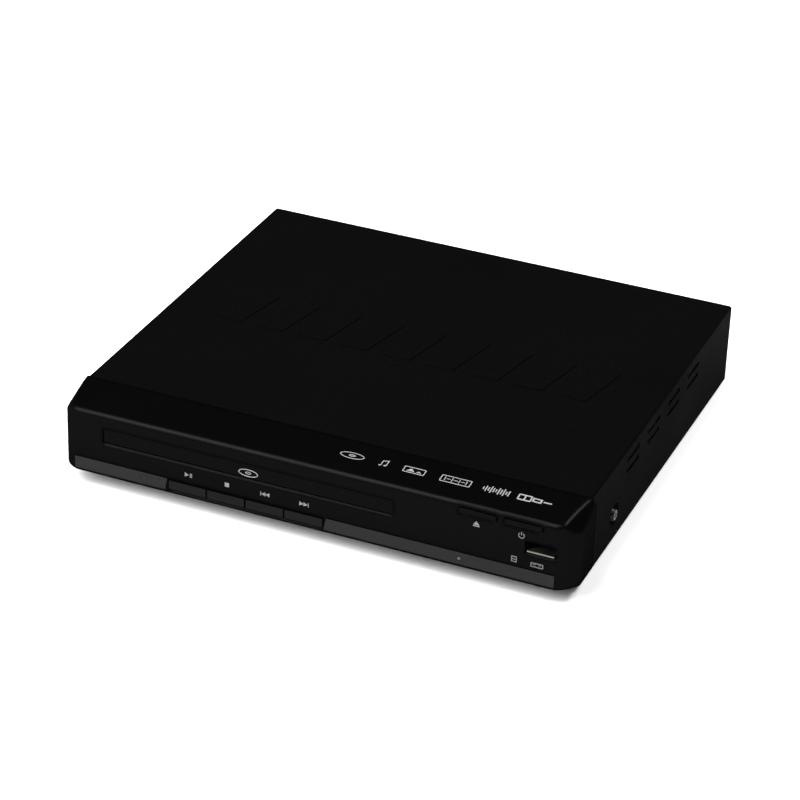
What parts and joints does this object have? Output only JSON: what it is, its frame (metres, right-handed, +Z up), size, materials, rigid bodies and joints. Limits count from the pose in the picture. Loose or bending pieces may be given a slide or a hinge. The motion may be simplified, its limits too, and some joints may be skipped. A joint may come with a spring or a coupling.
{
  "type": "disc player",
  "caption": "Slim black disc player with a motor-driven sliding disc tray, play keys, eject and power keys and a USB port on its moulded front.",
  "frame": {"origin": "middle of the whole at the surface it stands on", "axes": "+X to the right seen from the front, +Y to the back, +Z up; the front faces -Y"},
  "size_m": [0.225, 0.2116, 0.039],
  "materials": {
    "black_gloss": "polished black moulding",
    "grey_trim": "dark grey satin strip",
    "black_paint": "fine textured black powder coat",
    "plated_steel": "zinc plated",
    "foot_rubber": "matt",
    "screw_steel": "nickel plated",
    "black_plastic": "moulded",
    "grey_plastic": "moulded",
    "motor_steel": "drawn can",
    "belt_rubber": "matt",
    "board_green": "solder mask",
    "switch_black": "moulded",
    "infrared_plastic": "dark tinted",
    "light_lens": "clear lens",
    "socket_steel": "nickel plated",
    "cream_plastic": "moulded",
    "chip_black": "epoxy",
    "board_tan": "bare laminate",
    "transformer_tape": "polyester tape",
    "capacitor_sleeve": "shrink sleeve",
    "raw_aluminium": "extruded",
    "jack_colours": "coded rings",
    "ribbon_white": "flat cable",
    "wire_red": "insulated wires",
    "tray_plastic": "fine textured",
    "white_acetal": "natural acetal",
    "polished_rod": "ground",
    "lens_glass": "coated lens",
    "key_grey": "polished",
    "key_black": "polished"
  },
  "bodies": {
    "case": {"front_bezel": "black_gloss", "trim_left": "grey_trim", "trim_right": "grey_trim", "top_cover": "black_paint", "chassis_pan": "plated_steel", "rear_panel": "black_paint", "rubber_feet": "foot_rubber", "cover_side_screws": "screw_steel", "rear_screws": "screw_steel", "loader_frame": "black_plastic", "clamp_bridge": "grey_plastic", "loading_motor": "motor_steel", "loading_belt": "belt_rubber", "loader_screws": "screw_steel", "front_board": "board_green", "tact_switches": "switch_black", "ir_receiver": "infrared_plastic", "status_led": "light_lens", "usb_socket": "socket_steel", "usb_tongue": "cream_plastic", "main_board": "board_green", "main_board_parts": "chip_black", "power_board": "board_tan", "transformer": "transformer_tape", "power_parts": "capacitor_sleeve", "heatsink": "raw_aluminium", "mains_inlet": "switch_black", "av_board": "board_green", "av_jack_block": "switch_black", "av_jack_barrels": "socket_steel", "av_jack_inserts": "jack_colours", "board_screws": "screw_steel", "front_ribbon": "ribbon_white", "power_harness": "wire_red"},
    "tray": {"disc_tray": "tray_plastic", "tray_door": "black_gloss"},
    "tray_gear_body": {"tray_gear": "white_acetal"},
    "pulley_gear_body": {"pulley_gear": "white_acetal"},
    "motor_pulley_body": {"motor_pulley": "white_acetal"},
    "clamper_body": {"clamper": "white_acetal"},
    "slider": {"cam_slider": "white_acetal"},
    "drive": {"traverse_holder": "black_plastic", "traverse_plate": "plated_steel", "traverse_dampers": "belt_rubber", "guide_rods": "polished_rod", "spindle_motor": "motor_steel", "sled_motor": "motor_steel"},
    "turntable_body": {"turntable": "white_acetal", "turntable_pad": "belt_rubber"},
    "pickup": {"pickup_sled": "grey_plastic", "objective_lens": "lens_glass"},
    "sled_gear_body": {"sled_gear": "white_acetal"},
    "sled_pinion_body": {"sled_motor_gear": "white_acetal"},
    "play_key_body": {"play_key": "key_grey"},
    "stop_key_body": {"stop_key": "key_grey"},
    "previous_key_body": {"previous_key": "key_grey"},
    "next_key_body": {"next_key": "key_grey"},
    "eject_key_body": {"eject_key": "key_black"},
    "power_key_body": {"power_key": "key_black"}
  },
  "joints": [
    {"name": "tray_slide", "type": "slide", "parent": "case", "child": "tray", "axis": [0, -1, 0], "range_m": [0, 0.13]},
    {"name": "tray_gear_spin", "type": "hinge", "parent": "case", "child": "tray_gear_body", "pos_m": [-0.0958, -0.0769, 0.0205], "axis": [0, 0, 1], "range_deg": [-1281.4, 40]},
    {"name": "pulley_gear_spin", "type": "hinge", "parent": "case", "child": "pulley_gear_body", "pos_m": [-0.0798, -0.0769, 0.0205], "axis": [0, 0, 1], "range_deg": [-60, 2129]},
    {"name": "motor_pulley_spin", "type": "hinge", "parent": "case", "child": "motor_pulley_body", "pos_m": [-0.0458, -0.0769, 0.018], "axis": [0, 0, 1], "range_deg": [-200, 7362]},
    {"name": "clamper_spin", "type": "hinge", "parent": "case", "child": "clamper_body", "pos_m": [-0.0277, -0.0324, 0.033], "axis": [0, 0, 1], "continuous": true},
    {"name": "drive_lift", "type": "hinge", "parent": "case", "child": "drive", "pos_m": [-0.0277, 0.0506, 0.016], "axis": [-1, 0, 0], "range_deg": [0, 5]},
    {"name": "slider_slide", "type": "slide", "parent": "case", "child": "slider", "axis": [-1, 0, 0], "range_m": [-0.0005, 0.0145]},
    {"name": "turntable_spin", "type": "hinge", "parent": "drive", "child": "turntable_body", "pos_m": [-0.0277, -0.03304, 0.01972], "axis": [0, -0.0872, 0.9962], "continuous": true},
    {"name": "pickup_slide", "type": "slide", "parent": "drive", "child": "pickup", "axis": [0, 0.9962, 0.0872], "range_m": [0, 0.034]},
    {"name": "sled_gear_spin", "type": "hinge", "parent": "drive", "child": "sled_gear_body", "pos_m": [0.0103, 0.00646, 0.01565], "axis": [0, -0.0872, 0.9962], "range_deg": [-273.5, 30]},
    {"name": "sled_pinion_spin", "type": "hinge", "parent": "drive", "child": "sled_pinion_body", "pos_m": [0.0103, 0.01842, 0.0167], "axis": [0, -0.0872, 0.9962], "range_deg": [-60, 547]},
    {"name": "play_press", "type": "slide", "parent": "case", "child": "play_key_body", "axis": [0, 1, 0], "range_m": [0, 0.0006], "stiffness_N_per_m": 600, "springref_m": -0.0012},
    {"name": "stop_press", "type": "slide", "parent": "case", "child": "stop_key_body", "axis": [0, 1, 0], "range_m": [0, 0.0006], "stiffness_N_per_m": 600, "springref_m": -0.0012},
    {"name": "previous_press", "type": "slide", "parent": "case", "child": "previous_key_body", "axis": [0, 1, 0], "range_m": [0, 0.0006], "stiffness_N_per_m": 600, "springref_m": -0.0012},
    {"name": "next_press", "type": "slide", "parent": "case", "child": "next_key_body", "axis": [0, 1, 0], "range_m": [0, 0.0006], "stiffness_N_per_m": 600, "springref_m": -0.0012},
    {"name": "eject_press", "type": "slide", "parent": "case", "child": "eject_key_body", "axis": [0, 1, 0], "range_m": [0, 0.0006], "stiffness_N_per_m": 600, "springref_m": -0.0012},
    {"name": "power_press", "type": "slide", "parent": "case", "child": "power_key_body", "axis": [0, 1, 0], "range_m": [0, 0.0006], "stiffness_N_per_m": 600, "springref_m": -0.0012}
  ],
  "couplings": [
    {"joint": "tray_gear_spin", "follows": "tray_slide", "rad_per_m": -166.67},
    {"joint": "pulley_gear_spin", "follows": "tray_slide", "rad_per_m": 277.78},
    {"joint": "motor_pulley_spin", "follows": "tray_slide", "rad_per_m": 961.54},
    {"joint": "slider_slide", "follows": "drive_lift", "m_per_rad": 0.16043},
    {"joint": "sled_gear_spin", "follows": "pickup_slide", "rad_per_m": -125},
    {"joint": "sled_pinion_spin", "follows": "pickup_slide", "rad_per_m": 250}
  ]
}
